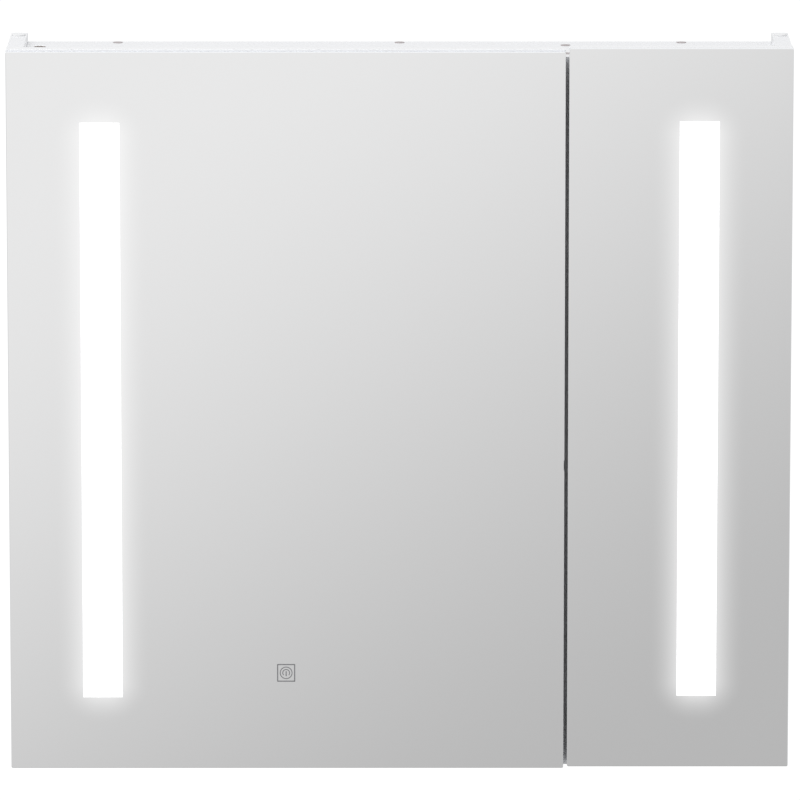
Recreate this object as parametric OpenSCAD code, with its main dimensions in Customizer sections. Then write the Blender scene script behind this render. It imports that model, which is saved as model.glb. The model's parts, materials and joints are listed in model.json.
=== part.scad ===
// Bathroom mirror cabinet with two unequal doors and a lit strip down the outer side of each.
// X runs to the viewer's right, the doors face -Y, +Z is up.
// The origin is on the wall plane, at mid-width and mid-height: the middle of the four wall fixings.

/* [Cabinet] */
// Overall width
cab_w = 750; // [700:1:900]
// Height of the doors
cab_h = 700; // [680:1:800]
// Depth from the wall to the front of the mirrors
cab_d = 130; // [125:1:170]
// Thickness of the cabinet boards
board_t = 16; // [15:1:18]
// How much higher the doors hang than the side panels, which are as tall as they are
door_raise = 3; // [2:1:6]
// How far the top panel lies below the top of the doors
top_recess = 11.5; // [10:0.5:20]
// How far the bottom panel lies above the bottom of the doors
bottom_recess = 7; // [5:1:20]
// Thickness of the back panel
back_t = 4; // [3:0.5:6]
// Height of each wall rail
rail_h = 80; // [60:1:100]
// Distance between the wall fixings, across
fixing_x = 560; // [400:1:600]
// Distance between the wall fixings, up and down
fixing_z = 568; // [540:1:580]

/* [Doors] */
// Width of the narrow right door
right_door_w = 213.4; // [190:0.1:260]
// Gap between the two doors
door_gap = 3.5; // [3:0.1:5]
// Air between the doors and the cabinet
door_off = 3; // [2.5:0.1:4]
// Thickness of the door boards
door_t = 16; // [15:1:18]
// Thickness of the mirror glass
mirror_t = 4; // [3:0.5:5]
// How much lower the left door hangs
left_drop = 1.5; // [0:0.1:2]
// How far the left mirror stops short of its board at the top
mirror_inset = 2; // [0.5:0.1:4]

/* [Lights] */
// Distance from a door's outer edge, top and bottom to its lit strip
light_inset = 70; // [60:1:90]
// Width of a lit strip
light_w = 38; // [30:1:45]
// Height of the touch switch above the bottom of the left door
touch_up = 94; // [60:1:150]

/* [Shelves] */
// Thickness of the glass shelves
shelf_t = 6; // [5:0.5:8]
// Depth of the glass shelves
shelf_d = 80; // [70:1:84]
// Height of the lower shelf from the middle of the cabinet
shelf_low = -115; // [-140:1:-90]
// Height of the upper shelf from the middle of the cabinet
shelf_high = 105; // [80:1:140]

/* [Hinges] */
// Height of the hinges above and below the middle
hinge_z = 250; // [220:1:260]
// Diameter of the hinge cups
cup_d = 35; // [35:1:35]
// Distance from the door's outer edge to the middle of a cup
cup_in = 21; // [20.5:0.5:22.5]

/* [Hidden] */
$fn = 48;
gap = 0.05;              // running clearance on a radius
touch = 0.1;             // slack around a pressed-in piece

carcass_d = cab_d - mirror_t - door_t - door_off;
y_front = -carcass_d;
y_board = y_front - door_off;           // back of a door board
y_glass = y_board - door_t;             // back of a mirror
half_w = cab_w / 2;
half_h = cab_h / 2;
side_in = half_w - board_t;             // inner face of a side panel
side_top = half_h - door_raise;
side_bottom = -half_h - door_raise;
top_z = half_h - top_recess - board_t;  // underside of the top panel
floor_z = -half_h + bottom_recess + board_t;
y_rail = -board_t;
y_back = y_rail - back_t;               // front of the back panel

gap_x = half_w - right_door_w - door_gap / 2;
left_door_w = cab_w - right_door_w - door_gap;
div_x0 = gap_x - board_t / 2;
div_x1 = gap_x + board_t / 2;
light_h = cab_h - 2 * light_inset;

pin_r = 2.5;
pin_in = 7;
pin_out = 8;
pin_rows = [y_back - 12, y_front + 15];
shelf_rows = [shelf_low, shelf_high];
pin_steps = [-32, 0, 32];

panel_screw_r = 3.5;     // smooth shank in the outer board
panel_screw_head_r = 4.8;
head_proud = 0.9;
pilot_r = 2.6;           // threaded end in the inner board
pilot_l = 36;
rear_screw_x = [-272, 0, 272];
divider_screw_y = [-83, -27];
back_screw_x = [-340, -140, 100, 340];
back_screw_z = [floor_z + 20, top_z - 20];
small_screw_r = 1.75;
small_screw_l = 14;
fixing_r = 3;
access_r = 7;            // hole in the back panel for the wall screw's head
outlet_x = -346;
outlet_y = -36;
outlet_r = 6;
cap_r = 6.5;
cap_t = 1.2;
lip_d = 16;              // depth of the strip under the bottom panel

cam_r = 7.5;
cam_in = 24;             // from the board's end to the middle of the cam
cam_h = 11.8;
joint_y = -52;
joint_in = 10;           // depth of the dowel and bolt holes in a side panel
joint_z = [floor_z - board_t / 2, top_z + board_t / 2];
bolt_r = 2.5;
bolt_shank_r = 2.9;
dowel_rows = [-85, -18];
dowel_r = 4;
dowel_end_in = 20;       // how much of a dowel is in the end of a panel

// Hinge points: x from the door's outer edge inwards, y back from the front of the cabinet
arm_pivot = [33.4, 2.9];
cup_pivot = [11, -8];
link_knee = [18, -11.5];
link_w = 10;
cup_pin_r = 1.1;
cup_pin_z = 7.2;
ear_t = 1.5;
cup_depth = 12.5;
cup_wall = 1;
cup_lip = 1.2;
cup_screw = [cup_in + 9.5, 24];
plate_y = 37;
plate_screw_z = 16;

driver_x = -300;
driver_w = 150;
driver_d = 42;
driver_h = 24;
driver_y = y_back - 4 - driver_d;

// ---- shared shapes ----

module box(a, b) translate(a) cube(b - a);

// A cylinder along -Y that starts at the given point
module rod_y(p, r, l) translate(p) rotate([90, 0, 0]) cylinder(r = r, h = l);

// A cylinder along X that starts at the given point
module rod_x(p, r, l) translate(p) rotate([0, 90, 0]) cylinder(r = r, h = l);

// Places the children in a side's hinge frame, s = -1 on the left and 1 on the right
module at_side(s) {
    if (s < 0) translate([-half_w, y_front, 0]) children();
    else translate([half_w, y_front, 0]) mirror([1, 0, 0]) children();
}

// The same, at both hinge heights; each hinge is symmetrical about its own middle
module at_hinges(s) {
    for (z = [-hinge_z, hinge_z]) translate([0, 0, z]) at_side(s) children();
}

// A flat bar with round ends between two points of the plane
module bar(p, q, w) {
    d = q - p;
    translate(p) rotate(atan2(d[1], d[0])) translate([0, -w / 2]) square([norm(d), w]);
    translate(p) circle(d = w);
    translate(q) circle(d = w);
}

// Extrudes the children up and down from the middle, from z0 to z1 each way
module both_ways(z0, z1) {
    for (z = [z0, -z1]) translate([0, 0, z]) linear_extrude(z1 - z0) children();
}

// ---- cabinet ----

module pin_bores(x) {
    for (y = pin_rows, row = shelf_rows, step = pin_steps)
        rod_x([x, y, row + step - pin_r], pin_r + gap, pin_in + gap);
}

module side_panel(s) {
    x0 = s < 0 ? -half_w : side_in;
    bore_x = s < 0 ? -side_in - joint_in : side_in;
    difference() {
        box([x0, y_front, side_bottom], [x0 + board_t, 0, side_top]);
        pin_bores(s < 0 ? -side_in - pin_in - gap : side_in);
        for (z = joint_z) {
            for (y = dowel_rows) rod_x([bore_x, y, z], dowel_r + gap, joint_in);
            rod_x([bore_x, joint_y, z], bolt_r + gap, joint_in);
        }
        at_hinges(s) for (t = [-1, 1]) rod_x([board_t - 11, plate_y, t * plate_screw_z], 2 + gap, 12);
    }
}

module side_panel_left() color("white") side_panel(-1);
module side_panel_right() color("white") side_panel(1);

// Puts the children at every screw of the top and bottom panels, at height z
module at_panel_screws(z) {
    for (x = rear_screw_x) translate([x, y_rail / 2, z]) children();
    for (y = divider_screw_y) translate([gap_x, y, z]) children();
}

// The bores that the top and bottom panels share: end dowels, cams and panel screws
module cross_panel_bores(z, cam_z) {
    mid = z + board_t / 2;
    dowel_bore = dowel_end_in + 1;
    for (s = [-1, 1]) {
        for (y = dowel_rows)
            rod_x([s < 0 ? -side_in : side_in - dowel_bore, y, mid], dowel_r + gap, dowel_bore);
        rod_x([s < 0 ? -side_in : side_in - cam_in, joint_y, mid], bolt_shank_r + 2 * touch, cam_in);
        translate([s * (side_in - cam_in), joint_y, cam_z]) cylinder(r = cam_r + gap, h = cam_h + 1.2);
    }
    at_panel_screws(z - 1) cylinder(r = panel_screw_r + gap, h = board_t + 2);
}

module top_panel() color("white") difference() {
    box([-side_in, y_front, top_z], [side_in, 0, top_z + board_t]);
    cross_panel_bores(top_z, top_z - 1);
    translate([outlet_x, outlet_y, top_z - 1]) cylinder(r = outlet_r, h = board_t + 2);
    at_driver_screws() translate([0, 0, -1]) cylinder(r = small_screw_r + gap, h = 13);
}

module bottom_panel() color("white") difference() {
    box([-side_in, y_front, floor_z - board_t], [side_in, 0, floor_z]);
    cross_panel_bores(floor_z - board_t, floor_z - cam_h - 0.2);
}

// Strip glued under the front of the bottom panel, level with the side panels' lower ends
module bottom_lip() color("white")
    box([-side_in, y_front, side_bottom], [side_in, y_front + lip_d, floor_z - board_t]);

module divider_panel() color("white") difference() {
    box([div_x0, y_front, floor_z], [div_x1, y_back, top_z]);
    pin_bores(div_x0);
    pin_bores(div_x1 - pin_in - gap);
    for (y = divider_screw_y, z = [top_z - pilot_l, floor_z])
        translate([gap_x, y, z]) cylinder(r = pilot_r + gap, h = pilot_l);
}

module at_fixings(z_signs) {
    for (x = [-fixing_x / 2, fixing_x / 2], s = z_signs) translate([x, 0, s * fixing_z / 2]) children();
}

module back_panel() color("white") difference() {
    box([-side_in, y_back, floor_z], [side_in, y_rail, top_z]);
    at_fixings([-1, 1]) rod_y([0, y_rail + 1, 0], access_r, back_t + 2);
    for (x = back_screw_x, z = back_screw_z)
        rod_y([x, y_rail + 1, z], small_screw_r + gap, back_t + 2);
}

module wall_rail(z, s) difference() {
    box([-side_in, y_rail, z], [side_in, 0, z + rail_h]);
    at_fixings([s]) rod_y([0, 1, 0], fixing_r, board_t + 2);
    for (x = rear_screw_x) translate([x, y_rail / 2, s > 0 ? z + rail_h - pilot_l : z])
        cylinder(r = pilot_r + gap, h = pilot_l);
    for (x = back_screw_x) rod_y([x, y_rail + 12, back_screw_z[s > 0 ? 1 : 0]], small_screw_r + gap, 13);
}

module wall_rail_upper() color("white") wall_rail(top_z - rail_h, 1);
module wall_rail_lower() color("white") wall_rail(floor_z, -1);

module corner_dowels() color("burlywood")
    for (s = [-1, 1], y = dowel_rows, z = joint_z)
        rod_x([s < 0 ? -side_in - joint_in + 0.5 : side_in - dowel_end_in, y, z],
            dowel_r, dowel_end_in + joint_in - 0.5);

module cam_lock() difference() {
    cylinder(r = cam_r, h = cam_h);
    translate([0, 0, -0.5]) for (a = [0, 90]) rotate(a) box([-4.5, -0.6, 0], [4.5, 0.6, 2.5]);
    rod_x([-9, 0, board_t / 2], 3.2, 9);
}

module cam_locks() color("silver") for (s = [-1, 1]) {
    translate([s * (side_in - cam_in), joint_y, top_z]) rotate(s < 0 ? 0 : 180) cam_lock();
    translate([s * (side_in - cam_in), joint_y, floor_z]) mirror([0, 0, 1]) rotate(s < 0 ? 0 : 180) cam_lock();
}

// Steel bolt from the side panel into the cam
module cam_bolts() color("silver")
    for (s = [-1, 1], z = joint_z) {
        rod_x([s < 0 ? -side_in - joint_in + 0.5 : side_in, joint_y, z], bolt_r, joint_in - 0.5);
        rod_x([s < 0 ? -side_in : side_in - cam_in + 4, joint_y, z], bolt_shank_r, cam_in - 4);
    }

// Board screw with a flat cap over its head, pointing down
module panel_screw() {
    cylinder(r = panel_screw_head_r, h = head_proud);
    translate([0, 0, -board_t]) cylinder(r = panel_screw_r, h = board_t);
    translate([0, 0, 2 - board_t - pilot_l]) cylinder(r = pilot_r, h = pilot_l - 2);
}

module panel_screws() color("rosybrown") {
    at_panel_screws(top_z + board_t) panel_screw();
    at_panel_screws(floor_z - board_t) mirror([0, 0, 1]) panel_screw();
}

module back_panel_screws() color("silver") for (x = back_screw_x, z = back_screw_z) {
    rod_y([x, y_back, z], 2 * small_screw_r, 1.4);
    rod_y([x, y_back + small_screw_l, z], small_screw_r, small_screw_l);
}

// Round caps over the holes in the ends of the side panels
module side_top_caps() color("whitesmoke") for (s = [-1, 1], z = [side_bottom - cap_t, side_top])
    translate([s * (half_w - board_t / 2), dowel_rows[1], z]) cylinder(r = cap_r, h = cap_t);

// Soft stops stuck on the front edges of the top and bottom panels, behind each door
module door_bumpers() color("lightgray")
    for (x = [div_x0 - 14, div_x1 + 14], z = joint_z)
        rod_y([x, y_front, z], 4, door_off - 0.4);

// ---- shelves ----

module shelf(x0, x1, z) box([x0 + 1, y_back - 1 - shelf_d, z], [x1 - 1, y_back - 1, z + shelf_t]);

module shelf_left_upper() color("powderblue", 0.5) shelf(-side_in, div_x0, shelf_high);
module shelf_left_lower() color("powderblue", 0.5) shelf(-side_in, div_x0, shelf_low);
module shelf_right_upper() color("powderblue", 0.5) shelf(div_x1, side_in, shelf_high);
module shelf_right_lower() color("powderblue", 0.5) shelf(div_x1, side_in, shelf_low);

// Plain steel pins; each shelf rests on four
module shelf_pins(x0, x1) for (y = pin_rows, z = shelf_rows) {
    rod_x([x0 - pin_in, y, z - pin_r], pin_r, pin_in + pin_out);
    rod_x([x1 - pin_out, y, z - pin_r], pin_r, pin_in + pin_out);
}

module shelf_pins_left() color("silver") shelf_pins(-side_in, div_x0);
module shelf_pins_right() color("silver") shelf_pins(div_x1, side_in);

// ---- lamp driver, under the top panel beside the cable outlet ----

driver_ear = 10;

module at_driver_screws() for (x = [driver_x - driver_ear / 2, driver_x + driver_w + driver_ear / 2])
    translate([x, driver_y + driver_d / 2, top_z]) children();

module driver_case() color("gainsboro") {
    difference() {
        union() {
            box([driver_x, driver_y, top_z - driver_h], [driver_x + driver_w, driver_y + driver_d, top_z]);
            box([driver_x - driver_ear, driver_y + 12, top_z - 2.5],
                [driver_x + driver_w + driver_ear, driver_y + driver_d - 12, top_z]);
        }
        box([driver_x + 2, driver_y + 2, top_z - driver_h - 1],
            [driver_x + driver_w - 2, driver_y + driver_d - 2, top_z - 2]);
        at_driver_screws() translate([0, 0, -3]) cylinder(r = small_screw_r + gap, h = 4);
        rod_x([driver_x - 1, driver_y + driver_d / 2, top_z - 14], 4, driver_w + 2);
    }
    for (x = [10, driver_w - 10], y = [9, driver_d - 9])
        translate([driver_x + x, driver_y + y, top_z - 4.4]) cylinder(r = 3, h = 2.8);
}

module driver_cover() color("whitesmoke") difference() {
    box([driver_x, driver_y, top_z - driver_h - 2],
        [driver_x + driver_w, driver_y + driver_d, top_z - driver_h]);
    for (i = [-4 : 4]) box([driver_x + driver_w / 2 + i * 8 - 1, driver_y + 9, top_z - driver_h - 3],
        [driver_x + driver_w / 2 + i * 8 + 1, driver_y + driver_d - 9, top_z - driver_h + 1]);
}

// Circuit board with its transformer, capacitors and two terminal blocks
module driver_board() color("seagreen") {
    z = top_z - 6;
    box([driver_x + 4, driver_y + 4, z], [driver_x + driver_w - 4, driver_y + driver_d - 4, z + 1.6]);
    box([driver_x + 55, driver_y + 10, z - 14], [driver_x + 79, driver_y + 32, z]);
    for (x = [95, 110]) translate([driver_x + x, driver_y + 21, z - 12]) cylinder(r = 5, h = 12);
    for (x = [18, driver_w - 32]) box([driver_x + x, driver_y + 11, z - 8], [driver_x + x + 14, driver_y + 31, z]);
}

module driver_screws() color("silver") at_driver_screws() {
    translate([0, 0, -4.1]) cylinder(r = 3.3, h = 1.6);
    translate([0, 0, -2.5]) cylinder(r = small_screw_r, h = small_screw_l);
}

// ---- hinges ----

arm_x0 = board_t + 3;

// Mounting plate on the side panel's inner face
module hinge_plate() difference() {
    union() {
        box([board_t, plate_y - 9, -24], [arm_x0, plate_y + 9, 24]);
        box([board_t, plate_y - 20, -7], [arm_x0, plate_y + 26, 7]);
    }
    for (s = [-1, 1]) rod_x([board_t - 1, plate_y, s * plate_screw_z], 2.1, 5);
}

module hinge_plates_left() color("silver") at_hinges(-1) hinge_plate();
module hinge_plates_right() color("silver") at_hinges(1) hinge_plate();

arm_rear = 60;           // the arm's rear end, back from the front of the cabinet
arm_bend = [35.5, 40];   // where its outer face starts to slope
arm_nose = [37, 8];      // where the slope ends, at the nose
arm_wall = 1.5;

module arm_cheek() polygon([[arm_x0, 20], [arm_x0, arm_rear], [30, arm_rear], arm_bend, arm_nose, [37, 1.4],
    [35.8, 0.2], [31, 0.2], [29.6, 1.6], [27, 10]]);

// Folded steel arm: two cheeks and a back, with the pivot bore in its nose
module hinge_arm() difference() {
    union() {
        both_ways(link_w / 2 + 0.5, link_w / 2 + 0.5 + ear_t) arm_cheek();
        translate([0, 0, -link_w / 2 - 0.6]) linear_extrude(link_w + 1.2) {
            polygon([[30, arm_rear], arm_bend, arm_nose, arm_nose - [arm_wall, 0],
                arm_bend - [arm_wall, 0], [30 - arm_wall, arm_rear]]);
            translate([arm_x0, 22]) square([arm_wall, arm_rear - 22]);
        }
    }
    translate([arm_pivot[0], arm_pivot[1], -20]) cylinder(r = 1.5 + gap, h = 40);
    for (y = [28, 48]) rod_x([arm_x0 - 1, y, 0], 3.3, 30);
}

module hinge_arms_left() color("silver") at_hinges(-1) hinge_arm();
module hinge_arms_right() color("silver") at_hinges(1) hinge_arm();

module hinge_plate_screws() color("silver") for (s = [-1, 1]) at_hinges(s)
    for (z = [-plate_screw_z, plate_screw_z]) {
        rod_x([arm_x0, plate_y, z], 3.6, 1.8);
        rod_x([board_t - 10, plate_y, z], 2, 13);
    }

// The fixing and adjusting screws of each arm
module hinge_adjusters() color("silver") for (s = [-1, 1]) at_hinges(s) for (y = [28, 48])
    difference() {
        rod_x([arm_x0, y, 0], 3.1, y < 40 ? 13 : 10);
        for (a = [0, 90]) translate([arm_x0 + (y < 40 ? 13 : 10), y, 0]) rotate([a, 0, 0])
            box([-1.5, -2, -0.4], [1, 2, 0.4]);
    }

module hinge_pivots() color("silver") for (s = [-1, 1]) at_hinges(s)
    translate([arm_pivot[0], arm_pivot[1], -link_w / 2 - 2.4]) cylinder(r = 1.5, h = link_w + 4.8);

// Cranked steel link from the arm into the cup; it carries the cup-side pin
module hinge_link() {
    difference() {
        translate([0, 0, -link_w / 2]) linear_extrude(link_w) {
            bar(cup_pivot, link_knee, 2);
            bar(link_knee, arm_pivot, 2);
            translate(arm_pivot) circle(r = 2.6);
            translate(cup_pivot) circle(r = 1.9);
        }
        translate([arm_pivot[0], arm_pivot[1], -link_w]) cylinder(r = 1.5 + gap, h = 2 * link_w);
    }
    translate([cup_pivot[0], cup_pivot[1], -cup_pin_z]) cylinder(r = cup_pin_r, h = 2 * cup_pin_z);
}

module hinge_links_left() color("gainsboro") at_hinges(-1) hinge_link();
module hinge_links_right() color("gainsboro") at_hinges(1) hinge_link();

cup_floor = -door_off - cup_depth + cup_wall;

// Pressed cup with its screw-on wings, in the door's back
module hinge_cup_shell() difference() {
    union() {
        rod_y([cup_in, -door_off, 0], cup_d / 2 - gap, cup_depth);
        rod_y([cup_in, -door_off + cup_lip, 0], cup_d / 2 + 1, cup_lip);
        box([cup_screw[0] - 6, -door_off, -31], [cup_screw[0] + 8, -door_off + cup_lip, 31]);
    }
    rod_y([cup_in, -door_off + cup_lip + 1, 0], cup_d / 2 - cup_wall, cup_lip + 1 + cup_depth - cup_wall);
    for (s = [-1, 1]) rod_y([cup_screw[0], 0, s * cup_screw[1]], 2.1, 6);
}

// Two lugs on the cup's floor that hold the link's pin
module hinge_cup() {
    hinge_cup_shell();
    difference() {
        both_ways(link_w / 2 + 0.6, cup_pin_z + 0.2) {
            translate(cup_pivot) circle(r = 2.4);
            translate([cup_pivot[0] - 2.4, cup_floor - 0.5])
                square([4.8, cup_pivot[1] - cup_floor + 0.5]);
        }
        translate([cup_pivot[0], cup_pivot[1], -10]) cylinder(r = cup_pin_r + gap, h = 20);
    }
}

module hinge_cups_left() color("silver") at_hinges(-1) hinge_cup();
module hinge_cups_right() color("silver") at_hinges(1) hinge_cup();

module cup_screws(side) at_hinges(side) for (s = [-1, 1]) {
    rod_y([cup_screw[0], -door_off + cup_lip + 0.9, s * cup_screw[1]], 3.5, 0.9);
    rod_y([cup_screw[0], -door_off + cup_lip, s * cup_screw[1]], 2, 12);
}

module hinge_cup_screws_left() color("silver") cup_screws(-1);
module hinge_cup_screws_right() color("silver") cup_screws(1);

// ---- doors ----

// The lit strip's outline, from y0 back to y1, widened by grow
module light_block(s, y0, y1, grow) {
    x0 = s < 0 ? -half_w + light_inset : half_w - light_inset - light_w;
    z0 = (s < 0 ? -left_drop : 0) - light_h / 2;
    box([x0 - grow, y0, z0 - grow], [x0 + light_w + grow, y1, z0 + light_h + grow]);
}

module at_cover_screws(s) {
    x = s * (half_w - light_inset - light_w / 2);
    for (t = [-1, 1]) translate([x, y_board, t * (light_h / 2 + 6) + (s < 0 ? -left_drop : 0)]) children();
}

module cup_bores(s) {
    at_hinges(s) {
        rod_y([cup_in, -door_off + 1, 0], cup_d / 2, cup_depth + 1.5);
        for (t = [-1, 1]) rod_y([cup_screw[0], 0, t * cup_screw[1]], 2 + gap, 15);
    }
    light_block(s, y_glass - 1, y_board + 1, 0);
    at_cover_screws(s) rod_y([0, 1, 0], 1.5 + gap, 10);
}

touch_x = -half_w + left_door_w / 2 - 0.9;
touch_z = -half_h - left_drop + touch_up;
nick_h = 9.8;
nick_up = 296;           // from the bottom of the right door
nick_depth = 0.5;

// A square plate behind the touch mark, w each way from its middle
module touch_block(w, y0, y1) box([touch_x - w, y0, touch_z - w], [touch_x + w, y1, touch_z + w]);

// Shallow flat nick in the free edge of the left door, through board and mirror
module nick() box([-half_w + left_door_w - nick_depth, -cab_d - 1, -half_h + nick_up - nick_h / 2],
    [-half_w + left_door_w + 1, y_board + 1, -half_h + nick_up + nick_h / 2]);

module door_board_left() color("white") difference() {
    box([-half_w, y_glass, -half_h - left_drop], [-half_w + left_door_w, y_board, half_h - left_drop]);
    cup_bores(-1);
    touch_block(12, y_glass - 1, y_board + 1);
    nick();
}

module door_board_right() color("white") difference() {
    box([half_w - right_door_w, y_glass, -half_h], [half_w, y_board, half_h]);
    cup_bores(1);
}

module mirror_left() color("lightsteelblue") difference() {
    box([-half_w, -cab_d, -half_h - left_drop],
        [-half_w + left_door_w, y_glass, half_h - left_drop - mirror_inset]);
    light_block(-1, -cab_d - 1, y_glass + 1, 0);
    nick();
}

module mirror_right() color("lightsteelblue") difference() {
    box([half_w - right_door_w, -cab_d, -half_h], [half_w, y_glass, half_h]);
    light_block(1, -cab_d - 1, y_glass + 1, 0);
}

module light_window_left() color("white") light_block(-1, -cab_d, y_glass, 0);
module light_window_right() color("white") light_block(1, -cab_d, y_glass, 0);

// Aluminium trough that fills the slot in the board, open towards the glass
module light_channel(s) difference() {
    light_block(s, y_glass, y_board, -touch);
    light_block(s, y_glass - 1, y_board - 1.6, -1.6);
}

module light_channel_left() color("silver") light_channel(-1);
module light_channel_right() color("silver") light_channel(1);

led_pitch = 28;
led_count = floor((light_h - 20) / led_pitch);

// Flexible board with a row of lamps
module led_strip(s) {
    x = s * (half_w - light_inset - light_w / 2);
    y = y_board - 1.6;
    z = s < 0 ? -left_drop : 0;
    box([x - 5, y - 1, z - light_h / 2 + 6], [x + 5, y, z + light_h / 2 - 6]);
    for (i = [0 : led_count - 1])
        translate([x - 2.5, y - 2.6, z + (i - (led_count - 1) / 2) * led_pitch - 2.5]) cube([5, 1.6, 5]);
}

module led_strip_left() color("khaki") led_strip(-1);
module led_strip_right() color("khaki") led_strip(1);

// White cover over the back of the slot
module light_cover(s) difference() {
    light_block(s, y_board, y_board + 1.5, 12);
    at_cover_screws(s) rod_y([0, 3, 0], 1.5 + gap, 6);
}

module light_cover_left() color("white") light_cover(-1);
module light_cover_right() color("white") light_cover(1);

module light_cover_screws(s) at_cover_screws(s) {
    rod_y([0, 2.5, 0], 3, 1);
    rod_y([0, 1.5, 0], 1.5, 10);
}

module light_cover_screws_left() color("silver") light_cover_screws(-1);
module light_cover_screws_right() color("silver") light_cover_screws(1);

// Touch switch behind the glass: housing with its sensing plate
module touch_sensor() color("dimgray") {
    touch_block(11, y_glass + 0.5, y_board - 2);
    touch_block(8, y_glass, y_glass + 0.5);
}

module touch_cover() color("white") touch_block(16, y_board, y_board + 1.5);

side_panel_left();
side_panel_right();
top_panel();
bottom_panel();
divider_panel();
back_panel();
wall_rail_upper();
wall_rail_lower();
corner_dowels();
cam_locks();
cam_bolts();
panel_screws();
back_panel_screws();
side_top_caps();
bottom_lip();
door_bumpers();
shelf_left_upper();
shelf_left_lower();
shelf_right_upper();
shelf_right_lower();
shelf_pins_left();
shelf_pins_right();
driver_case();
driver_cover();
driver_board();
driver_screws();
hinge_plates_left();
hinge_plates_right();
hinge_arms_left();
hinge_arms_right();
hinge_plate_screws();
hinge_adjusters();
hinge_pivots();
hinge_links_left();
hinge_links_right();
hinge_cups_left();
hinge_cups_right();
hinge_cup_screws_left();
hinge_cup_screws_right();
door_board_left();
door_board_right();
mirror_left();
mirror_right();
light_window_left();
light_window_right();
light_channel_left();
light_channel_right();
led_strip_left();
led_strip_right();
light_cover_left();
light_cover_right();
light_cover_screws_left();
light_cover_screws_right();
touch_sensor();
touch_cover();
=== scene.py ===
"""Looks of the bathroom mirror cabinet: materials for every carried-over node, finer meshes for
the mirrors, the screws and their caps, the touch mark, and a pale studio. Metres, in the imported
model's frame: X to the viewer's right, the doors face -Y, +Z up, the wall is the plane y = 0."""
import json
import math

import bmesh
import bpy
from mathutils import Matrix, Vector


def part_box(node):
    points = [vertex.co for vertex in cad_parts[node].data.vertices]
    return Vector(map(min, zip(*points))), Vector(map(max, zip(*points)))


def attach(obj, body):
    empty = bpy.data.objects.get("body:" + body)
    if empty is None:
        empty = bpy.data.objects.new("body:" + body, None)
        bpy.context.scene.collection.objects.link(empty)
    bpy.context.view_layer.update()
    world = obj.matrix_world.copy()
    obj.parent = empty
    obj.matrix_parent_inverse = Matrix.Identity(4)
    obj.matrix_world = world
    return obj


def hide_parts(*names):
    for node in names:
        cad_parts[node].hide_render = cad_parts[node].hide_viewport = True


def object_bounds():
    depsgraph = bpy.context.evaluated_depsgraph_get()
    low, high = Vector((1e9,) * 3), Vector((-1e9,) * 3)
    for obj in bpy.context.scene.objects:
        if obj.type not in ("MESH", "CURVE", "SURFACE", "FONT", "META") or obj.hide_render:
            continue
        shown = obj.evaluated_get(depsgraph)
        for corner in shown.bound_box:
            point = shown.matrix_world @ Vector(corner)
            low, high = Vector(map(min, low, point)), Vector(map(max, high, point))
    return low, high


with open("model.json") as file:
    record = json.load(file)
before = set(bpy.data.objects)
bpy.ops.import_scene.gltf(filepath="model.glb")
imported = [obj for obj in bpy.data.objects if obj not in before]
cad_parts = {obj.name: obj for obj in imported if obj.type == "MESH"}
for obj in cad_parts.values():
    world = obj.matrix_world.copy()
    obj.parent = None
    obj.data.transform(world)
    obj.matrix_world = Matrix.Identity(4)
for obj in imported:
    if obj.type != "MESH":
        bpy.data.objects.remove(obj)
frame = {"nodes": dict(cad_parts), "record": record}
CAD_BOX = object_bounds()
MM = 0.001

# ---------------------------------------------------------------- places, from the frame

BOX = {name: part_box(name) for name in frame["nodes"]}
FRONT_Y = BOX["mirror_left"][0].y
MID_Y = FRONT_Y / 2


def middle(node):
    low, high = BOX[node]
    return (low + high) / 2


# ---------------------------------------------------------------- camera

VIEW_DISTANCE = 8.0
VIEW_ELEVATION = math.radians(10.5)
VIEW_TARGET = Vector((0.0004, MID_Y, -0.002))
VIEW_LENS = 372.6


def add_camera():
    data = bpy.data.cameras.new("camera")
    data.lens = VIEW_LENS
    data.sensor_width = 36.0
    data.clip_end = 60.0
    cam = bpy.data.objects.new("camera", data)
    away = Vector((0.0, -math.cos(VIEW_ELEVATION), math.sin(VIEW_ELEVATION)))
    cam.location = VIEW_TARGET + VIEW_DISTANCE * away
    cam.rotation_euler = (-away).to_track_quat("-Z", "Y").to_euler()
    bpy.context.scene.collection.objects.link(cam)
    bpy.context.scene.camera = cam
    return cam


camera = add_camera()

# ---------------------------------------------------------------- node helpers


class Nodes:
    """Short ways to add nodes to one node tree."""

    def __init__(self, tree):
        self.tree = tree

    def node(self, kind, **settings):
        made = self.tree.nodes.new("ShaderNode" + kind)
        for key, value in settings.items():
            setattr(made, key, value)
        return made

    def link(self, source, target):
        if isinstance(source, (int, float)):
            target.default_value = source
        else:
            self.tree.links.new(source, target)

    def math(self, operation, a, b=0.0):
        made = self.node("Math", operation=operation)
        self.link(a, made.inputs[0])
        self.link(b, made.inputs[1])
        return made.outputs[0]

    def spread(self, value, low, high, start=0.0, end=1.0, smooth=False):
        """Takes start..end to low..high."""
        made = self.node("MapRange", interpolation_type="SMOOTHSTEP" if smooth else "LINEAR")
        self.link(value, made.inputs["Value"])
        made.inputs["From Min"].default_value = start
        made.inputs["From Max"].default_value = end
        made.inputs["To Min"].default_value = low
        made.inputs["To Max"].default_value = high
        return made.outputs[0]

    def axes(self, space="Object"):
        """The X, Y and Z of a coordinate."""
        made = self.node("SeparateXYZ")
        self.link(self.node("TexCoord").outputs[space], made.inputs[0])
        return made.outputs


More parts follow.
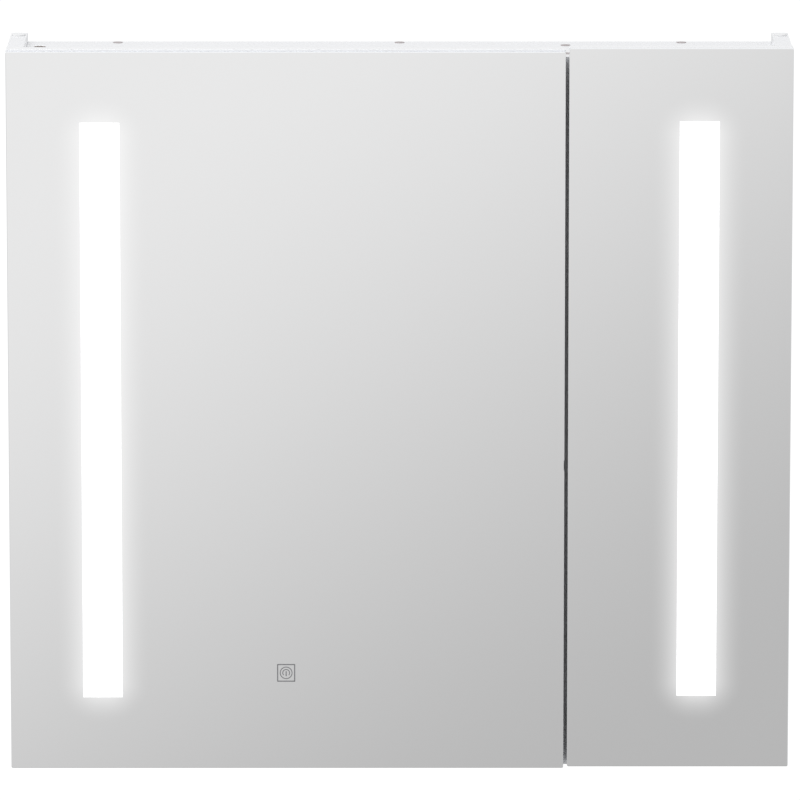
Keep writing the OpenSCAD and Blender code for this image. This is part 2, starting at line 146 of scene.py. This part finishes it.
class Shader(Nodes):
    """A Principled material and short ways to add the nodes that feed it."""

    def __init__(self, name, color, roughness, metallic=0.0):
        self.material = bpy.data.materials.new(name)
        self.material.use_nodes = True
        super().__init__(self.material.node_tree)
        self.main = self.tree.nodes["Principled BSDF"]
        self.main.inputs["Base Color"].default_value = (*color, 1.0)
        self.main.inputs["Roughness"].default_value = roughness
        self.main.inputs["Metallic"].default_value = metallic

    def place(self, stretch=(1.0, 1.0, 1.0)):
        """Object coordinates, stretched; a node's own frame is the row frame at rest."""
        made = self.node("Mapping")
        made.inputs["Scale"].default_value = stretch
        self.link(self.node("TexCoord").outputs["Object"], made.inputs["Vector"])
        return made.outputs[0]

    def noise(self, scale, detail=2.0, stretch=(1.0, 1.0, 1.0), distortion=0.0):
        made = self.node("TexNoise")
        made.inputs["Scale"].default_value = scale
        made.inputs["Detail"].default_value = detail
        made.inputs["Distortion"].default_value = distortion
        self.link(self.place(stretch), made.inputs["Vector"])
        return made.outputs["Fac"]

    def blend(self, amount, dark, light):
        made = self.node("Mix", data_type="RGBA")
        self.link(amount, made.inputs["Factor"])
        made.inputs["A"].default_value = (*dark, 1.0)
        made.inputs["B"].default_value = (*light, 1.0)
        return made.outputs["Result"]

    def vary(self, amount, dark, light):
        self.link(self.blend(amount, dark, light), self.main.inputs["Base Color"])

    def bump(self, height, distance, strength):
        made = self.node("Bump")
        made.inputs["Distance"].default_value = distance
        made.inputs["Strength"].default_value = strength
        self.link(height, made.inputs["Height"])
        self.link(made.outputs[0], self.main.inputs["Normal"])


# ---------------------------------------------------------------- materials


def lacquer(name, light, dark, roughness):
    """White high-gloss board: a trace of orange peel and a barely uneven tone."""
    s = Shader(name, light, roughness)
    s.vary(s.noise(9.0, 3.0), dark, light)
    s.link(s.spread(s.noise(35.0, 2.0), roughness * 0.8, roughness * 1.25),
           s.main.inputs["Roughness"])
    s.bump(s.noise(160.0, 1.0), 0.02 * MM, 0.12)
    s.main.inputs["Coat Weight"].default_value = 0.35
    s.main.inputs["Coat Roughness"].default_value = 0.06
    return s.material


HALO_REACH = 27 * MM
HALO_AMOUNT = 0.52
HALO_ROUND = 16 * MM
HALO_FALL = 1.9
WINDOW_RIM = 2.6 * MM
WINDOW_RIM_GLOW = 0.62
WINDOW_GLOW = 1.1
SILVER = (0.955, 0.955, 0.957)


def off_middle(s, node):
    """Distance from a node's middle along X and along Z, each with the node's half size."""
    low, high = BOX[node]
    axes = s.axes()
    return [(s.math("ABSOLUTE", s.math("SUBTRACT", axes[axis], (a + b) / 2)), (b - a) / 2)
            for axis, a, b in (("X", low.x, high.x), ("Z", low.z, high.z))]


def halo(s, window):
    """1 along the lit window's sides, smoothly 0 at HALO_REACH, and weaker at its corners."""
    sides = []
    for off, half in off_middle(s, window):
        out = s.math("MAXIMUM", s.math("SUBTRACT", off, half - HALO_ROUND), 0.0)
        sides.append(s.math("POWER", out, 2.0))
    distance = s.math("SUBTRACT", s.math("SQRT", s.math("ADD", *sides)), HALO_ROUND)
    return s.math("POWER", s.spread(distance, 1.0, 0.0, 0.0, HALO_REACH), HALO_FALL)


def mirror_glass(name, window):
    """Silvered float glass. Round its lit window it glows, as light spreads in the glass."""
    s = Shader(name, SILVER, 0.012, 1.0)
    glow = s.math("MULTIPLY", halo(s, window), HALO_AMOUNT)
    s.vary(glow, SILVER, (0.0, 0.0, 0.0))
    s.main.inputs["Emission Color"].default_value = (1.0, 1.0, 1.0, 1.0)
    s.link(glow, s.main.inputs["Emission Strength"])
    return s.material


def glass_edge(name):
    """Ground and polished edge of a pane, a pale cool grey."""
    s = Shader(name, (0.74, 0.77, 0.82), 0.12)
    s.vary(s.noise(160.0, 2.0, (1.0, 0.2, 1.0)), (0.67, 0.70, 0.75), (0.76, 0.79, 0.84))
    s.main.inputs["Coat Weight"].default_value = 0.5
    return s.material


def lit_window(name, node):
    """Frosted strip, evenly lit, a shade softer along its rim."""
    s = Shader(name, (0.92, 0.92, 0.92), 0.45)
    rim = s.math("MINIMUM", *(s.math("SUBTRACT", half, off) for off, half in off_middle(s, node)))
    s.main.inputs["Emission Color"].default_value = (1.0, 1.0, 1.0, 1.0)
    s.link(s.spread(rim, WINDOW_RIM_GLOW, WINDOW_GLOW, 0.0, WINDOW_RIM, smooth=True),
           s.main.inputs["Emission Strength"])
    s.bump(s.noise(2600.0, 2.0), 0.02 * MM, 0.4)
    return s.material


def metal(name, color, roughness, grain=(1.0, 1.0, 1.0), scale=300.0, wear=0.06):
    """Plated or rolled metal with a directional grain and a faintly blotchy polish."""
    s = Shader(name, color, roughness, 1.0)
    dark = tuple(c * (1.0 - 2.2 * wear) for c in color)
    s.vary(s.noise(scale / 8, 3.0), dark, color)
    s.link(s.spread(s.noise(scale, 3.0, grain), roughness * 0.7, roughness * 1.4),
           s.main.inputs["Roughness"])
    s.bump(s.noise(scale * 2, 2.0, grain), 0.02 * MM, 0.3)
    return s.material


def plastic(name, color, roughness, texture=900.0, depth=0.03):
    """Moulded plastic with a fine spark-eroded texture."""
    s = Shader(name, color, roughness)
    dark = tuple(c * 0.93 for c in color)
    s.vary(s.noise(25.0, 2.0), dark, color)
    s.link(s.spread(s.noise(texture / 6, 2.0), roughness * 0.85, roughness * 1.15),
           s.main.inputs["Roughness"])
    s.bump(s.noise(texture, 2.0), depth * MM, 0.4)
    return s.material


def shelf_glass(name):
    """Clear glass with the green that its thickness gives."""
    s = Shader(name, (0.86, 0.95, 0.92), 0.02)
    s.vary(s.noise(6.0, 1.0), (0.84, 0.94, 0.905), (0.88, 0.96, 0.935))
    s.main.inputs["Transmission Weight"].default_value = 1.0
    s.main.inputs["IOR"].default_value = 1.5
    return s.material


def timber(name):
    """Beech dowel: fine grain along X with darker flecks."""
    s = Shader(name, (0.72, 0.55, 0.36), 0.6)
    grain = s.noise(260.0, 4.0, (0.06, 1.0, 1.0), 0.4)
    s.vary(grain, (0.58, 0.40, 0.23), (0.78, 0.61, 0.41))
    s.bump(grain, 0.05 * MM, 0.5)
    return s.material


def etched_line(name):
    """Satin line etched into the mirror's face."""
    s = Shader(name, (0.24, 0.24, 0.25), 0.5)
    s.vary(s.noise(1500.0, 2.0), (0.20, 0.20, 0.21), (0.26, 0.26, 0.27))
    s.bump(s.noise(3000.0, 1.0), 0.01 * MM, 0.3)
    return s.material


def soft_plastic(name):
    """Clear-grey silicone dot."""
    s = Shader(name, (0.75, 0.76, 0.77), 0.35)
    s.vary(s.noise(200.0, 2.0), (0.70, 0.71, 0.72), (0.78, 0.79, 0.80))
    s.main.inputs["Subsurface Weight"].default_value = 0.3
    s.main.inputs["Subsurface Scale"].default_value = 1.5 * MM
    return s.material


def circuit(name):
    """Solder-masked board: copper tracks show as slightly paler bands."""
    s = Shader(name, (0.03, 0.20, 0.10), 0.35)
    bands = s.node("TexWave", wave_type="BANDS", bands_direction="DIAGONAL")
    bands.inputs["Scale"].default_value = 220.0
    bands.inputs["Distortion"].default_value = 4.0
    s.link(s.place(), bands.inputs["Vector"])
    s.vary(bands.outputs["Fac"], (0.02, 0.16, 0.08), (0.05, 0.27, 0.14))
    return s.material


MATERIALS = {
    "white_board": lacquer("white_lacquer", (0.915, 0.92, 0.935), (0.89, 0.895, 0.91), 0.16),
    "shelf_glass": shelf_glass("clear_glass"),
    "nickel_steel": metal("nickel_steel", (0.74, 0.72, 0.69), 0.24, (1.0, 0.2, 1.0)),
    "zinc": metal("zinc_plate", (0.66, 0.66, 0.64), 0.33, scale=500.0, wear=0.1),
    "aluminium": metal("extruded_aluminium", (0.80, 0.80, 0.81), 0.3, (1.0, 1.0, 0.04), 700.0),
    "white_plastic": plastic("white_plastic", (0.88, 0.88, 0.88), 0.38),
    # The caps' taupe is the tone of their shaded rims: partly their own colour, partly painted
    # shade.
    "taupe_plastic": plastic("taupe_plastic", (0.37, 0.32, 0.32), 0.25, 1200.0, 0.01),
    "soft_grey": soft_plastic("silicone"),
    "beech": timber("beech"),
    "circuit_green": circuit("circuit_board"),
    "led_board": plastic("led_board", (0.92, 0.90, 0.78), 0.4, 1500.0, 0.01),
    "sensor_dark": plastic("sensor_housing", (0.05, 0.05, 0.055), 0.45),
}
# Same white board as the cabinet's, painted a shade lighter: painted light on the doors, so that
# their top and free edges show brighter than the recessed top panel.
DOOR_BOARD_PAINTED_LIGHT = lacquer("door_lacquer_painted_light", (0.955, 0.957, 0.965), (0.935, 0.938, 0.948), 0.14)
RAW_CORE = plastic("raw_board_core", (0.30, 0.24, 0.20), 0.85, 2200.0, 0.08)
EDGE = glass_edge("polished_glass_edge")
ETCH = etched_line("etched_line")
SILVERED = {
    "left": mirror_glass("mirror_left_silver", "light_window_left"),
    "right": mirror_glass("mirror_right_silver", "light_window_right"),
}


def paint(ob, material):
    """Puts one material on every slot of a carried-over node."""
    if not ob.material_slots:
        ob.data.materials.append(material)
    for holder in ob.material_slots:
        holder.material = material


# ---------------------------------------------------------------- carried-over nodes

# Corners closer than this are one corner
WELD = 0.002 * MM
# How far the edges of each kind of node are broken
EDGE_BREAK = {
    "white_board": 0.45 * MM,
    "shelf_glass": 0.5 * MM,
    "nickel_steel": 0.18 * MM,
    "white_plastic": 0.35 * MM,
    "aluminium": 0.15 * MM,
    "zinc": 0.12 * MM,
}


def break_edges(ob, width):
    """Joins the mesh's split corners and rounds its sharp edges a little."""
    weld = ob.modifiers.new("weld", "WELD")
    weld.merge_threshold = WELD
    bevel = ob.modifiers.new("bevel", "BEVEL")
    bevel.width = width
    bevel.segments = 2
    bevel.limit_method = "ANGLE"
    bevel.angle_limit = math.radians(50)
    # Even widths: sliding along the long thin triangles at a bore's rim would fold them over
    bevel.loop_slide = False
    bevel.use_clamp_overlap = False
    normals = ob.modifiers.new("normals", "WEIGHTED_NORMAL")
    normals.weight = 100
    normals.keep_sharp = False


def dress_nodes():
    for row in frame["record"]["subparts"]:
        ob = frame["nodes"][row["node"]]
        kind = row["material_slot"]
        if kind in MATERIALS:
            paint(ob, MATERIALS[kind])
        if kind in EDGE_BREAK:
            break_edges(ob, EDGE_BREAK[kind])
    for side in ("left", "right"):
        paint(frame["nodes"]["door_board_" + side], DOOR_BOARD_PAINTED_LIGHT)
        node = "light_window_" + side
        paint(frame["nodes"][node], lit_window("lit_strip_" + side, node))


dress_nodes()

# ---------------------------------------------------------------- mesh helpers


def new_piece(name, mesh_builder, materials, body, smooth=True):
    """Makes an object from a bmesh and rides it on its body."""
    mesh = bpy.data.meshes.new(name)
    bm = bmesh.new()
    mesh_builder(bm)
    bmesh.ops.recalc_face_normals(bm, faces=bm.faces)
    bm.to_mesh(mesh)
    bm.free()
    for material in materials:
        mesh.materials.append(material)
    ob = bpy.data.objects.new(name, mesh)
    bpy.context.scene.collection.objects.link(ob)
    if smooth:
        mesh.shade_smooth()
        mesh.set_sharp_from_angle(angle=math.radians(35))
    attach(ob, body)
    return ob


def rounded_rect(x0, z0, x1, z1, radius, steps=6):
    """Corner-rounded outline in the XZ plane, anticlockwise as the viewer sees it."""
    corners = ((x1 - radius, z0 + radius, -90), (x1 - radius, z1 - radius, 0),
               (x0 + radius, z1 - radius, 90), (x0 + radius, z0 + radius, 180))
    points = []
    for cx, cz, start in corners:
        for i in range(steps + 1):
            a = math.radians(start + 90 * i / steps)
            points.append((cx + radius * math.cos(a), cz + radius * math.sin(a)))
    return points


def loop_at(bm, points, y):
    return [bm.verts.new((x, y, z)) for x, z in points]


def wall(bm, first, second, material=0):
    """Quads between two loops with the same number of points."""
    count = len(first)
    for i in range(count):
        face = bm.faces.new((first[i], first[(i + 1) % count], second[(i + 1) % count], second[i]))
        face.material_index = material


def ring_cap(bm, outer, inner, material=0):
    """Flat faces between an outer loop and a hole."""
    edges = []
    for loop in (outer, inner):
        for i, vert in enumerate(loop):
            pair = (vert, loop[(i + 1) % len(loop)])
            edges.append(bm.edges.get(pair) or bm.edges.new(pair))
    made = bmesh.ops.triangle_fill(bm, edges=edges, use_beauty=True)
    for item in made["geom"]:
        if isinstance(item, bmesh.types.BMFace):
            item.material_index = material


# ---------------------------------------------------------------- mirror panes

ARRIS = 0.6 * MM
PANE_CORNER = 1.5 * MM
# The finger nick of the left door, its height from the bottom of the right door
NICK_UP = 296 * MM
NICK_HIGH = 9.8 * MM
NICK_DEEP = 0.5 * MM


def nicked(points, x, z):
    """Outline with a flat nick cut into its long straight edge at x."""
    out = []
    for a, b in zip(points, points[1:] + points[:1]):
        out.append(a)
        if abs(a[0] - x) < 1e-6 and abs(b[0] - x) < 1e-6 and abs(a[1] - b[1]) > 0.1:
            half = math.copysign(NICK_HIGH / 2, b[1] - a[1])
            out += [(x, z - half), (x - NICK_DEEP, z - half),
                    (x - NICK_DEEP, z + half), (x, z + half)]
    return out


def mirror_pane(side):
    """Pane with eased corners, a polished arris round its front and the slot of the lit strip."""
    node = "mirror_" + side
    low, high = BOX[node]
    w_low, w_high = BOX["light_window_" + side]

    def build(bm):
        def outline(inset):
            points = rounded_rect(low.x + inset, low.z + inset, high.x - inset, high.z - inset,
                                  PANE_CORNER - inset * 0.5)
            if side == "left":
                points = nicked(points, high.x - inset, BOX["mirror_right"][0].z + NICK_UP)
            return points

        front = loop_at(bm, outline(ARRIS), low.y)
        shoulder = loop_at(bm, outline(0.0), low.y + ARRIS)
        back = loop_at(bm, outline(0.0), high.y)
        hole = [(w_low.x, w_low.z), (w_high.x, w_low.z),
                (w_high.x, w_high.z), (w_low.x, w_high.z)]
        hole_front = loop_at(bm, hole, low.y)
        hole_back = loop_at(bm, hole, high.y)
        ring_cap(bm, front, hole_front, 0)
        wall(bm, front, shoulder, 0)
        wall(bm, shoulder, back, 1)
        wall(bm, hole_front, hole_back, 1)
        ring_cap(bm, back, hole_back, 1)

    ob = new_piece("mirror_pane_" + side, build, [SILVERED[side], EDGE], side + "_door",
                   smooth=False)
    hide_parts(node)


for side_name in ("left", "right"):
    mirror_pane(side_name)

# ---------------------------------------------------------------- touch mark

MARK_SIZE = 17.5 * MM
MARK_LINE = 1.1 * MM
MARK_PROUD = 0.06 * MM
MARK_RING = 5.7 * MM
MARK_ARC = 3.3 * MM
MARK_ARC_ENDS = (-42, 222)
MARK_CURVE = 0.8 * MARK_LINE
MARK_BAR_LOW = -3.3 * MM
MARK_BAR_HIGH = 1.6 * MM


def arc_band(bm, radius, line, start, end, y, depth, cx, cz, steps=40):
    """Flat band along an arc, as a closed solid; a full turn closes on itself."""
    full = abs(end - start) >= 360
    rows = []
    count = steps if full else steps + 1
    for i in range(count):
        a = math.radians(start + (end - start) * i / steps)
        row = []
        for r, yy in ((radius - line / 2, y), (radius + line / 2, y),
                      (radius + line / 2, y + depth), (radius - line / 2, y + depth)):
            row.append(bm.verts.new((cx + r * math.cos(a), yy, cz + r * math.sin(a))))
        rows.append(row)
    pairs = list(zip(rows, rows[1:]))
    if full:
        pairs.append((rows[-1], rows[0]))
    for a_row, b_row in pairs:
        wall(bm, a_row, b_row)
    if not full:
        bm.faces.new(rows[0])
        bm.faces.new(rows[-1])


def touch_mark():
    """Generic power sign: a square, a ring, and an open arc round a short bar."""
    centre = middle("touch_sensor")
    y = FRONT_Y - MARK_PROUD
    depth = 2 * MARK_PROUD

    def build(bm):
        half = MARK_SIZE / 2
        loops = []
        for inset in (0.0, MARK_LINE):
            points = rounded_rect(centre.x - half + inset, centre.z - half + inset,
                                  centre.x + half - inset, centre.z + half - inset, 0.5 * MM, 3)
            loops.append((loop_at(bm, points, y), loop_at(bm, points, y + depth)))
        wall(bm, loops[0][0], loops[1][0])
        wall(bm, loops[0][1], loops[1][1])
        wall(bm, loops[0][0], loops[0][1])
        wall(bm, loops[1][0], loops[1][1])
        arc_band(bm, MARK_RING, MARK_CURVE, 0, 360, y, depth, centre.x, centre.z, 64)
        arc_band(bm, MARK_ARC, MARK_CURVE, *MARK_ARC_ENDS, y, depth, centre.x, centre.z)
        bar = rounded_rect(centre.x - MARK_LINE / 2, centre.z + MARK_BAR_LOW,
                           centre.x + MARK_LINE / 2, centre.z + MARK_BAR_HIGH, 0.4 * MM, 4)
        front = loop_at(bm, bar, y)
        back = loop_at(bm, bar, y + depth)
        wall(bm, front, back)
        bm.faces.new(front)
        bm.faces.new(back)

    new_piece("touch_mark", build, [ETCH], "left_door", smooth=False)


touch_mark()

# ---------------------------------------------------------------- screws, caps and the outlet


def islands(node):
    """Lowest and highest corner of each separate solid in a node's mesh."""
    bm = bmesh.new()
    bm.from_mesh(frame["nodes"][node].data)
    bmesh.ops.remove_doubles(bm, verts=bm.verts, dist=WELD)
    left = set(bm.verts)
    boxes = []
    while left:
        todo = [left.pop()]
        points = []
        while todo:
            vert = todo.pop()
            points.append(vert.co.copy())
            for edge in vert.link_edges:
                other = edge.other_vert(vert)
                if other in left:
                    left.remove(other)
                    todo.append(other)
        boxes.append((Vector(map(min, *points)), Vector(map(max, *points))))
    bm.free()
    return sorted(boxes, key=lambda pair: tuple(round(v, 5) for v in pair[0]))


def turned(bm, profile, place, steps=36):
    """Turns a profile of (radius, height) points round the local Z of a placing matrix."""
    rings = []
    for radius, height in profile:
        if radius == 0:
            rings.append([bm.verts.new(place @ Vector((0, 0, height)))])
            continue
        angles = [2 * math.pi * i / steps for i in range(steps)]
        points = [Vector((radius * math.cos(a), radius * math.sin(a), height)) for a in angles]
        rings.append([bm.verts.new(place @ point) for point in points])
    for a, b in zip(rings, rings[1:]):
        if len(a) == 1 or len(b) == 1:
            tip, ring = (a[0], b) if len(a) == 1 else (b[0], a)
            for i in range(steps):
                bm.faces.new((tip, ring[i], ring[(i + 1) % steps]))
        else:
            wall(bm, a, b)
    return rings


def cross_outline(reach, half):
    """Outline of a cross recess, anticlockwise, its arms 2 * half wide."""
    points = []
    for quarter in range(4):
        a = math.radians(90 * quarter)
        for x, y in ((reach, -half), (reach, half), (half, half)):
            points.append((x * math.cos(a) - y * math.sin(a), x * math.sin(a) + y * math.cos(a)))
    return points


THREAD_PITCH = 0.9 * MM
RECESS_FLOOR = 0.25


def crosshead(bm, place, head_r, head_h, shank_r, length):
    """Pan-head screw: rounded head with a cross recess, ringed shank, point; +Z leaves the head."""
    flat = 0.62 * head_r
    turns = max(4, int(length / THREAD_PITCH))
    profile = [(0.0, -length)]
    for i in range(turns):
        z = -length + (i + 0.5) * length / turns
        taper = min(1.0, 0.35 + i / 3)
        profile += [(shank_r * taper, z), (shank_r * 0.8 * taper, z + 0.5 * length / turns)]
    profile[-1] = (shank_r * 0.8, -0.02 * MM)
    profile += [(head_r, 0.0), (head_r, 0.25 * head_h)]
    for step in range(1, 5):
        a = math.radians(90 * step / 4)
        profile.append((head_r - (head_r - flat) * (1 - math.cos(a)),
                        head_h * (0.25 + 0.75 * math.sin(a))))
    rings = turned(bm, profile, place)
    outline = cross_outline(0.5 * head_r, 0.13 * head_r)
    mouth = [bm.verts.new(place @ Vector((x, y, head_h))) for x, y in outline]
    depth = [bm.verts.new(place @ Vector((0.75 * x, 0.75 * y, head_h * RECESS_FLOOR)))
             for x, y in outline]
    ring_cap(bm, rings[-1], mouth)
    wall(bm, mouth, depth)
    bm.faces.new(depth)


def cap(bm, place, radius, height, length, shank_r):
    """Flat push-in cap with a rounded rim and a shallow dimple, on a smooth stem."""
    rim = min(0.45 * height, 0.3 * MM)
    profile = [(0.0, -length), (shank_r, -length), (shank_r, 0.0), (radius, 0.0),
               (radius, height - rim)]
    for step in range(1, 4):
        a = math.radians(90 * step / 3)
        profile.append((radius - rim * (1 - math.cos(a)), height - rim + rim * math.sin(a)))
    profile += [(0.72 * radius, height), (0.62 * radius, height - 0.25 * rim),
                (0.0, height - 0.45 * rim)]
    turned(bm, profile, place)


def facing(axis, sign, at):
    """Placing matrix whose +Z points along the signed axis, at a point."""
    target = Vector((0, 0, 0))
    target[axis] = sign
    return Matrix.Translation(at) @ target.to_track_quat("Z", "Y").to_matrix().to_4x4()


# How far a screw cap shows above its panel
CAP_SHOWS = 0.4 * MM
# Node: body, axis of the screws, way the heads point along it, head height and shank radius.
# Heads that point "outward" face away from the cabinet's middle, "inward" ones towards it.
SCREWS = {
    "hinge_plate_screws": ("cabinet", 0, "inward", 1.8 * MM, 2.0 * MM),
    "hinge_cup_screws_left": ("left_door", 1, 1, 0.9 * MM, 2.0 * MM),
    "hinge_cup_screws_right": ("right_door", 1, 1, 0.9 * MM, 2.0 * MM),
    "light_cover_screws_left": ("left_door", 1, 1, 1.0 * MM, 1.5 * MM),
    "light_cover_screws_right": ("right_door", 1, 1, 1.0 * MM, 1.5 * MM),
    "back_panel_screws": ("cabinet", 1, -1, 1.4 * MM, 1.75 * MM),
    "driver_screws": ("cabinet", 2, -1, 1.6 * MM, 1.75 * MM),
    "panel_screws": ("cabinet", 2, "outward", 0.9 * MM, 3.5 * MM),
}


def screw_set(node, body, axis, direction, head_h, shank_r):
    """One piece with a detailed screw or cap at the place of each plain one in the node."""
    kind = next(row["material_slot"] for row in frame["record"]["subparts"] if row["node"] == node)

    def build(bm):
        for low, high in islands(node):
            centre = (low + high) / 2
            if direction == "inward":
                sign = -1 if centre[axis] > 0 else 1
            elif direction == "outward":
                sign = 1 if centre[axis] > 0 else -1
            else:
                sign = direction
            at = centre.copy()
            top = high[axis] if sign > 0 else low[axis]
            at[axis] = top - sign * head_h
            length = high[axis] - low[axis] - head_h
            across = max(high[i] - low[i] for i in range(3) if i != axis)
            if kind == "taupe_plastic":
                cap(bm, facing(axis, sign, at), across / 2, CAP_SHOWS, length, shank_r)
            else:
                crosshead(bm, facing(axis, sign, at), across / 2, head_h, shank_r, length)

    piece = new_piece(node + "_detail", build, [MATERIALS[kind]], body)
    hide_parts(node)


for screw_node, about in SCREWS.items():
    screw_set(screw_node, *about)


def outlet_core():
    """Raw board showing round the wall of the cable outlet: a thin sleeve just inside the bore."""
    mount = next(m for m in frame["record"]["mounts"] if m["name"] == "cable_outlet")
    centre = Vector(mount["pos_m"])
    low, high = BOX["top_panel"]
    radius = mount["dims"]["r_mm"] * MM
    half = (high.z - low.z) / 2 - 0.5 * MM

    def build(bm):
        inner, outer = radius - 0.15 * MM, radius - 0.02 * MM
        profile = [(inner, -half), (outer, -half), (outer, half), (inner, half), (inner, -half)]
        turned(bm, profile, Matrix.Translation(centre), 48)
        bmesh.ops.remove_doubles(bm, verts=bm.verts, dist=0.001 * MM)

    new_piece("outlet_core", build, [RAW_CORE], "cabinet")


outlet_core()

# ---------------------------------------------------------------- studio

FLOOR_Z = -1.2
FLOOR_SIZE = 60.0
BACKGROUND = 1.06
CARD_Y = -3.2


def emission(name):
    """A material that is one Emission shader, for the stage."""
    material = bpy.data.materials.new(name)
    material.use_nodes = True
    tree = material.node_tree
    tree.nodes.clear()
    out = tree.nodes.new("ShaderNodeOutputMaterial")
    glow = tree.nodes.new("ShaderNodeEmission")
    tree.links.new(glow.outputs[0], out.inputs["Surface"])
    return material, tree, glow


def stage_plane(name, corners, material):
    mesh = bpy.data.meshes.new(name)
    mesh.from_pydata(corners, [], [(0, 1, 2, 3)])
    mesh.materials.append(material)
    ob = bpy.data.objects.new(name, mesh)
    bpy.context.scene.collection.objects.link(ob)
    return ob


def add_floor():
    """Even white floor. It is only a background: the soft light comes from the world."""
    material, _, glow = emission("floor")
    glow.inputs["Strength"].default_value = BACKGROUND
    h = FLOOR_SIZE / 2
    corners = [(-h, -h, FLOOR_Z), (h, -h, FLOOR_Z), (h, h, FLOOR_Z), (-h, h, FLOOR_Z)]
    floor = stage_plane("floor", corners, material)
    floor.visible_diffuse = False
    floor.visible_glossy = False
    floor.visible_transmission = False
    floor.visible_shadow = False


# The card's tone: an even fall to the right and downwards, and a soft diagonal step
CARD_BRIGHT = 0.857
CARD_FALL_ACROSS = 0.02
CARD_FALL_DOWN = 0.07
CARD_STEP = 0.275
STEP_ANGLE = math.radians(51)
STEP_MIDDLE = 0.73
STEP_WIDTH = 1.13
CARD_MARGIN = 0.25
CARD_FADE = 0.5


def add_card():
    """Soft grey card low in front of the cabinet. The mirrors show it; the camera doesn't."""
    material, tree, glow = emission("reflector")
    sums = Nodes(tree)
    low, high = CAD_BOX
    # The mirrors see the card as the camera's image behind them does, so it is larger than they are
    reach = FRONT_Y - camera.location.y
    grow = (reach + FRONT_Y - CARD_Y) / reach
    eye_z = camera.location.z
    left, right = low[0] * grow, high[0] * grow
    top = eye_z + (high[2] - eye_z) * grow
    bottom = eye_z + (low[2] - eye_z) * grow

    axes = sums.axes()
    x, z = axes["X"], axes["Z"]
    across = sums.spread(x, 0.0, 1.0, left, right)
    down = sums.spread(z, 0.0, 1.0, top, bottom)
    slant = sums.math("ADD", sums.math("MULTIPLY", across, math.cos(STEP_ANGLE)),
                      sums.math("MULTIPLY", down, math.sin(STEP_ANGLE)))
    step = sums.spread(slant, 0.0, CARD_STEP, STEP_MIDDLE - STEP_WIDTH / 2,
                       STEP_MIDDLE + STEP_WIDTH / 2, smooth=True)
    fall = sums.math("ADD", sums.math("MULTIPLY", across, CARD_FALL_ACROSS),
                     sums.math("MULTIPLY", down, CARD_FALL_DOWN))
    tree.links.new(sums.math("SUBTRACT", sums.math("SUBTRACT", CARD_BRIGHT, fall), step),
                   glow.inputs["Strength"])

    # Beyond the margin the card fades out, so that no other view's reflection shows its rim
    far = CARD_MARGIN + CARD_FADE
    fades = [sums.spread(axis, 0.0, 1.0, edge + way * far, edge + way * CARD_MARGIN, smooth=True)
             for axis, edge, way in ((x, left, -1), (x, right, 1), (z, bottom, -1), (z, top, 1))]
    cover = sums.math("MULTIPLY", sums.math("MULTIPLY", fades[0], fades[1]),
                      sums.math("MULTIPLY", fades[2], fades[3]))
    clear = tree.nodes.new("ShaderNodeBsdfTransparent")
    mix = tree.nodes.new("ShaderNodeMixShader")
    tree.links.new(cover, mix.inputs[0])
    tree.links.new(clear.outputs[0], mix.inputs[1])
    tree.links.new(glow.outputs[0], mix.inputs[2])
    tree.links.new(mix.outputs[0], tree.nodes["Material Output"].inputs["Surface"])

    x0, x1, z0, z1 = left - far, right + far, bottom - far, top + far
    corners = [(x0, CARD_Y, z0), (x1, CARD_Y, z0), (x1, CARD_Y, z1), (x0, CARD_Y, z1)]
    card = stage_plane("reflector", corners, material)
    card.visible_camera = False
    card.visible_shadow = False
    card.visible_diffuse = False


def add_area(name, location, aim, size, power):
    data = bpy.data.lights.new(name, "AREA")
    data.shape = "SQUARE"
    data.size = size
    data.energy = power
    light = bpy.data.objects.new(name, data)
    light.location = location
    light.rotation_euler = (Vector(aim) - Vector(location)).to_track_quat("-Z", "Y").to_euler()
    bpy.context.scene.collection.objects.link(light)


SKY_ABOVE = 1.0
SKY_LEVEL = 0.74
SKY_BELOW = 0.38
# A dark flag, for soft light only, is full straight ahead of the doors and fades to the sides and
# above, so that little light enters the gap between them
FLAG_CORE = 0.08
FLAG_RIM = 0.2
FLAG_AHEAD = (-0.5, -0.2)
FLAG_DEPTH = 0.85


def add_world():
    """Soft light, strongest from above and weak from below; seen directly it is plain white."""
    world = bpy.data.worlds.new("studio")
    world.use_nodes = True
    tree = world.node_tree
    sky = tree.nodes["Background"]
    sky.inputs["Color"].default_value = (0.985, 0.99, 1.0, 1.0)
    sums = Nodes(tree)
    axes = sums.axes("Generated")
    upper = sums.spread(axes["Z"], 0.0, SKY_ABOVE - SKY_LEVEL)
    lower = sums.spread(axes["Z"], SKY_BELOW, SKY_LEVEL, -1.0, 0.0)
    path = tree.nodes.new("ShaderNodeLightPath")
    aside = sums.math("ABSOLUTE", axes["X"])
    narrow = sums.spread(aside, 1.0, 0.0, FLAG_CORE, FLAG_RIM, smooth=True)
    ahead = sums.spread(axes["Y"], 1.0, 0.0, *FLAG_AHEAD, smooth=True)
    flag = sums.math("MULTIPLY", sums.math("MULTIPLY", narrow, ahead),
                     path.outputs["Is Diffuse Ray"])
    lit = sums.math("SUBTRACT", 1.0, sums.math("MULTIPLY", flag, FLAG_DEPTH))
    tree.links.new(sums.math("MULTIPLY", sums.math("ADD", upper, lower), lit),
                   sky.inputs["Strength"])
    plain = tree.nodes.new("ShaderNodeBackground")
    plain.inputs["Strength"].default_value = BACKGROUND
    mix = tree.nodes.new("ShaderNodeMixShader")
    tree.links.new(path.outputs["Is Camera Ray"], mix.inputs[0])
    tree.links.new(sky.outputs[0], mix.inputs[1])
    tree.links.new(plain.outputs[0], mix.inputs[2])
    tree.links.new(mix.outputs[0], tree.nodes["World Output"].inputs["Surface"])
    bpy.context.scene.world = world


add_floor()
add_card()
add_world()
add_area("key", (-2.2, -3.0, 3.4), (0.0, 0.0, 0.0), 2.4, 75.0)
bpy.context.scene.view_settings.view_transform = "Standard"
